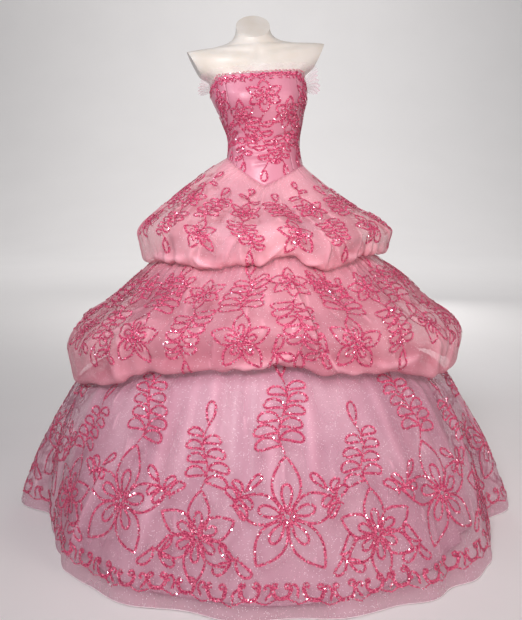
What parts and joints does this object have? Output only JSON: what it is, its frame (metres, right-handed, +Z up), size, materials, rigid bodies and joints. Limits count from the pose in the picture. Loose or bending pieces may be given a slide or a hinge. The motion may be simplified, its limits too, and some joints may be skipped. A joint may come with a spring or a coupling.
{
  "type": "ball gown on a dress form",
  "caption": "Strapless ball gown with two puffed organza tiers and a fluted long skirt over a satin underskirt, on a limbless dress form with a round steel base.",
  "frame": {"origin": "centre of the underside of the dress form's round base, on the floor", "axes": "+Z up, the gown's front faces -Y, +X is on the right of someone who faces the gown's front"},
  "size_m": [1.517, 1.521, 1.4795],
  "materials": {
    "form_shell": "cream glossy moulded shell",
    "stand_steel": "brushed",
    "satin": "pink satin",
    "underskirt_satin": "pink heavy satin",
    "organza": "pink embroidered organza",
    "tulle": "pale pink tulle",
    "zip_teeth": "pink nylon",
    "zip_metal": "pale pink lacquer"
  },
  "bodies": {
    "gown_on_form": {"dress_form_torso": "form_shell", "form_base": "stand_steel", "form_pole": "stand_steel", "bodice_front": "satin", "bodice_side_front_left": "satin", "bodice_side_front_right": "satin", "bodice_back_left": "satin", "bodice_back_right": "satin", "zip_chain": "zip_teeth", "zip_slider": "zip_metal", "neckline_ruffle": "tulle", "underskirt_front": "underskirt_satin", "underskirt_back": "underskirt_satin", "tier1_front": "organza", "tier1_back": "organza", "tier2_front": "organza", "tier2_back": "organza", "tier3_front": "organza", "tier3_back": "organza"},
    "zip_pull": {"zip_pull": "zip_metal"}
  },
  "joints": [
    {"name": "zip_pull_hinge", "type": "hinge", "parent": "gown_on_form", "child": "zip_pull", "pos_m": [-0.02008, 0.10033, 1.19414], "axis": [0.9669, 0.1226, 0.2239], "range_deg": [-8, 130]}
  ]
}
